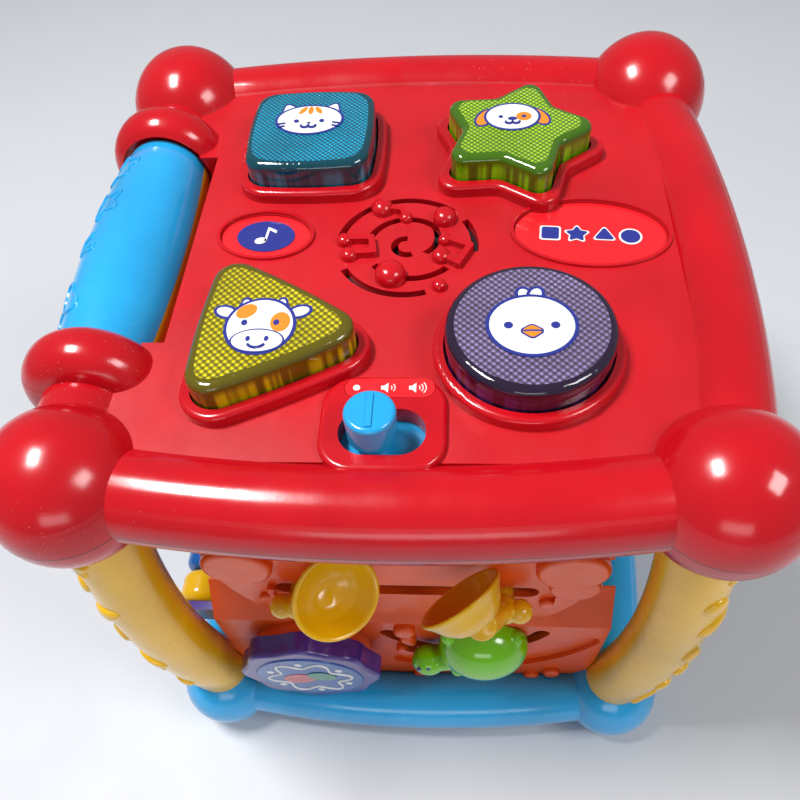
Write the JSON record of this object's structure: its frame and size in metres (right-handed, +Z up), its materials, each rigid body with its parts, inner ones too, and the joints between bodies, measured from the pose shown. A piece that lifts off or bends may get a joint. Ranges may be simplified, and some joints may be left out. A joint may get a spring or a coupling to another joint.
{
  "type": "baby activity cube",
  "caption": "Baby activity cube: round-cornered frame with a light-up button top, a roller edge and panels of sliding, spinning and pressing play pieces.",
  "frame": {"origin": "centre of the footprint, on the plane the four feet stand on", "axes": "+Z up; +X to the viewer's right when facing the orange front panel; -Y towards that viewer"},
  "size_m": [0.171, 0.171, 0.1697],
  "materials": {
    "red_plastic": "glossy injection-moulded ABS",
    "light_blue_plastic": "glossy injection-moulded ABS",
    "dark_blue_plastic": "glossy injection-moulded ABS",
    "yellow_plastic": "glossy injection-moulded ABS",
    "orange_plastic": "satin injection-moulded ABS",
    "purple_plastic": "glossy injection-moulded ABS",
    "green_plastic": "glossy injection-moulded ABS",
    "teal_lens": "translucent tinted lens, smooth top over a dimple grid",
    "green_lens": "translucent tinted lens, smooth top over a dimple grid",
    "yellow_lens": "translucent tinted lens, smooth top over a dimple grid",
    "plum_lens": "translucent tinted lens, smooth top over a dimple grid",
    "red_label": "printed vinyl label",
    "white_plastic": "white styrene",
    "steel": "zinc-plated steel",
    "cell_wrap": "printed sleeve on a dry cell",
    "board_green": "solder mask over laminate",
    "rubber_grey": "conductive silicone pads",
    "black_plastic": "black moulded plastic",
    "mirror_foil": "acrylic safety mirror"
  },
  "bodies": {
    "housing": {"top_cover": "red_plastic", "top_tray": "red_plastic", "post_front_left": "yellow_plastic", "post_front_right": "yellow_plastic", "post_back_right": "light_blue_plastic", "post_back_left": "light_blue_plastic", "base_frame": "light_blue_plastic", "base_pan": "light_blue_plastic", "housing_screws": "steel", "battery_box": "light_blue_plastic", "battery_door": "light_blue_plastic", "battery_door_screw": "steel", "batteries": "cell_wrap", "battery_contacts": "steel", "front_panel": "orange_plastic", "right_panel": "green_plastic", "back_panel": "light_blue_plastic", "left_panel": "purple_plastic", "badge_left": "red_label", "badge_right": "red_label", "volume_label": "red_label", "main_board": "board_green", "leds": "white_plastic", "switch_pads": "rubber_grey", "speaker": "black_plastic", "slide_switch": "black_plastic", "roller_axle": "white_plastic", "dial_axle": "white_plastic", "gear_pins": "red_plastic", "key_rod": "steel", "bead_rod": "white_plastic", "door_pin": "steel", "door_mirror": "mirror_foil"},
    "lens_square": {"lens_square": "teal_lens"},
    "lens_star": {"lens_star": "green_lens"},
    "lens_triangle": {"lens_triangle": "yellow_lens"},
    "lens_circle": {"lens_circle": "plum_lens"},
    "volume_knob": {"volume_knob": "light_blue_plastic"},
    "roller": {"roller_shell_blue": "light_blue_plastic", "roller_shell_yellow": "yellow_plastic", "roller_beads": "white_plastic"},
    "cymbal_left": {"cymbal_left": "yellow_plastic", "cymbal_left_clip": "white_plastic"},
    "cymbal_right": {"cymbal_right": "yellow_plastic", "cymbal_right_clip": "white_plastic"},
    "dial": {"dial_ring": "purple_plastic", "dial_window": "dark_blue_plastic"},
    "turtle": {"turtle": "green_plastic", "turtle_clip": "white_plastic"},
    "gear_large": {"gear_large": "orange_plastic"},
    "gear_small": {"gear_small": "yellow_plastic"},
    "drum_button": {"drum_button": "yellow_plastic"},
    "piano_key_1": {"piano_key_1": "red_plastic"},
    "piano_key_2": {"piano_key_2": "yellow_plastic"},
    "piano_key_3": {"piano_key_3": "green_plastic"},
    "bead_front": {"bead_front": "yellow_plastic"},
    "bead_barrel": {"bead_barrel": "dark_blue_plastic"},
    "bead_back": {"bead_back": "yellow_plastic"},
    "flip_door": {"flip_door": "orange_plastic"}
  },
  "joints": [
    {"name": "lens_square_slide", "type": "slide", "parent": "housing", "child": "lens_square", "axis": [0, 0, -1], "range_m": [0, 0.0025], "stiffness_N_per_m": 300, "springref_m": -0.002},
    {"name": "lens_star_slide", "type": "slide", "parent": "housing", "child": "lens_star", "axis": [0, 0, -1], "range_m": [0, 0.0025], "stiffness_N_per_m": 300, "springref_m": -0.002},
    {"name": "lens_triangle_slide", "type": "slide", "parent": "housing", "child": "lens_triangle", "axis": [0, 0, -1], "range_m": [0, 0.0025], "stiffness_N_per_m": 300, "springref_m": -0.002},
    {"name": "lens_circle_slide", "type": "slide", "parent": "housing", "child": "lens_circle", "axis": [0, 0, -1], "range_m": [0, 0.0025], "stiffness_N_per_m": 300, "springref_m": -0.002},
    {"name": "volume_knob_slide", "type": "slide", "parent": "housing", "child": "volume_knob", "axis": [1, 0, 0], "range_m": [-0.0016, 0.0054]},
    {"name": "roller_hinge", "type": "hinge", "parent": "housing", "child": "roller", "pos_m": [-0.0688, 0, 0.1522], "axis": [0, 1, 0], "continuous": true},
    {"name": "cymbal_left_slide", "type": "slide", "parent": "housing", "child": "cymbal_left", "axis": [1, 0, 0], "range_m": [-0.0032, 0.0038]},
    {"name": "cymbal_right_slide", "type": "slide", "parent": "housing", "child": "cymbal_right", "axis": [1, 0, 0], "range_m": [-0.0038, 0.0032]},
    {"name": "dial_hinge", "type": "hinge", "parent": "housing", "child": "dial", "pos_m": [-0.032, -0.0736, 0.0494], "axis": [0, -1, 0], "continuous": true},
    {"name": "turtle_hinge", "type": "hinge", "parent": "housing", "child": "turtle", "pos_m": [0.016, -0.066, 0.074], "axis": [0, -1, 0], "range_deg": [-4, 42]},
    {"name": "gear_large_hinge", "type": "hinge", "parent": "housing", "child": "gear_large", "pos_m": [0.0628, -0.015, 0.062], "axis": [1, 0, 0], "continuous": true},
    {"name": "gear_small_hinge", "type": "hinge", "parent": "housing", "child": "gear_small", "pos_m": [0.0628, 0.0192, 0.07445], "axis": [1, 0, 0], "continuous": true},
    {"name": "drum_button_slide", "type": "slide", "parent": "housing", "child": "drum_button", "axis": [0, -1, 0], "range_m": [0, 0.003], "stiffness_N_per_m": 300, "springref_m": -0.002},
    {"name": "piano_key_1_hinge", "type": "hinge", "parent": "housing", "child": "piano_key_1", "pos_m": [0, 0.0622, 0.062], "axis": [-1, 0, 0], "range_deg": [0, 5], "stiffness_Nm_per_rad": 0.06, "springref_deg": -8.59},
    {"name": "piano_key_2_hinge", "type": "hinge", "parent": "housing", "child": "piano_key_2", "pos_m": [0, 0.0622, 0.062], "axis": [-1, 0, 0], "range_deg": [0, 5], "stiffness_Nm_per_rad": 0.06, "springref_deg": -8.59},
    {"name": "piano_key_3_hinge", "type": "hinge", "parent": "housing", "child": "piano_key_3", "pos_m": [0, 0.0622, 0.062], "axis": [-1, 0, 0], "range_deg": [0, 5], "stiffness_Nm_per_rad": 0.06, "springref_deg": -8.59},
    {"name": "bead_front_hinge", "type": "hinge", "parent": "housing", "child": "bead_front", "pos_m": [-0.073, 0, 0.048], "axis": [0, 1, 0], "continuous": true},
    {"name": "bead_barrel_hinge", "type": "hinge", "parent": "housing", "child": "bead_barrel", "pos_m": [-0.073, 0, 0.048], "axis": [0, 1, 0], "continuous": true},
    {"name": "bead_back_hinge", "type": "hinge", "parent": "housing", "child": "bead_back", "pos_m": [-0.073, 0, 0.048], "axis": [0, 1, 0], "continuous": true},
    {"name": "flip_door_hinge", "type": "hinge", "parent": "housing", "child": "flip_door", "pos_m": [-0.0614, 0, 0.112], "axis": [0, 1, 0], "range_deg": [0, 100]}
  ],
  "couplings": [
    {"joint": "gear_small_hinge", "follows": "gear_large_hinge", "ratio": -1.3333}
  ]
}
